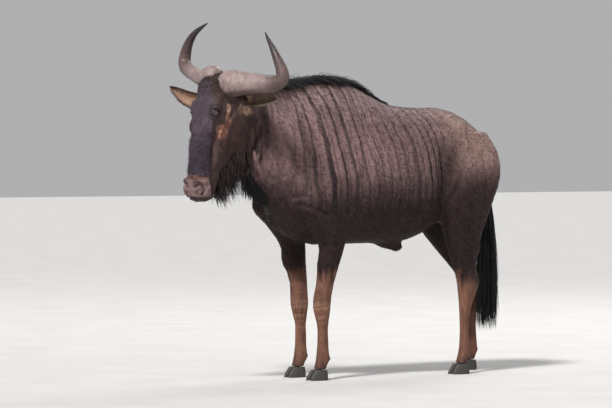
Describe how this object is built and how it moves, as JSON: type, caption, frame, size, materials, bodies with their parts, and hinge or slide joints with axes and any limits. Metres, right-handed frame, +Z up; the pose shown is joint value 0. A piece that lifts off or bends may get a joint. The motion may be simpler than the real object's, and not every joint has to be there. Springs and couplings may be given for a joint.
{
  "type": "wildebeest",
  "caption": "Life-size standing blue wildebeest bull with its head turned a little to the left, hooked horns, mane, beard and long tail, modelled as a still museum piece.",
  "frame": {"origin": "on the floor, at the middle of the model's box", "axes": "+X from head to tail, the head pointing along -X; +Y to the animal's right; +Z up"},
  "size_m": [1.7336, 0.6606, 1.6052],
  "materials": {
    "hide": "short matt coat",
    "horn": "satin keratin",
    "hair": "long coarse hair",
    "claw": "worn keratin",
    "eye": "wet gloss",
    "ear": "short soft hair"
  },
  "bodies": {
    "root": {"beard": "hair", "head": "hide", "left_ear": "ear", "left_eye": "eye", "left_fore_claw_inner": "claw", "left_fore_claw_outer": "claw", "left_foreleg": "hide", "left_hind_claw_inner": "claw", "left_hind_claw_outer": "claw", "left_hind_leg": "hide", "left_horn": "horn", "mane": "hair", "neck": "hide", "right_ear": "ear", "right_eye": "eye", "right_fore_claw_inner": "claw", "right_fore_claw_outer": "claw", "right_foreleg": "hide", "right_hind_claw_inner": "claw", "right_hind_claw_outer": "claw", "right_hind_leg": "hide", "right_horn": "horn", "tail_dock": "hide", "tail_switch": "hair", "throat_fringe": "hair", "torso": "hide"}
  },
  "joints": []
}
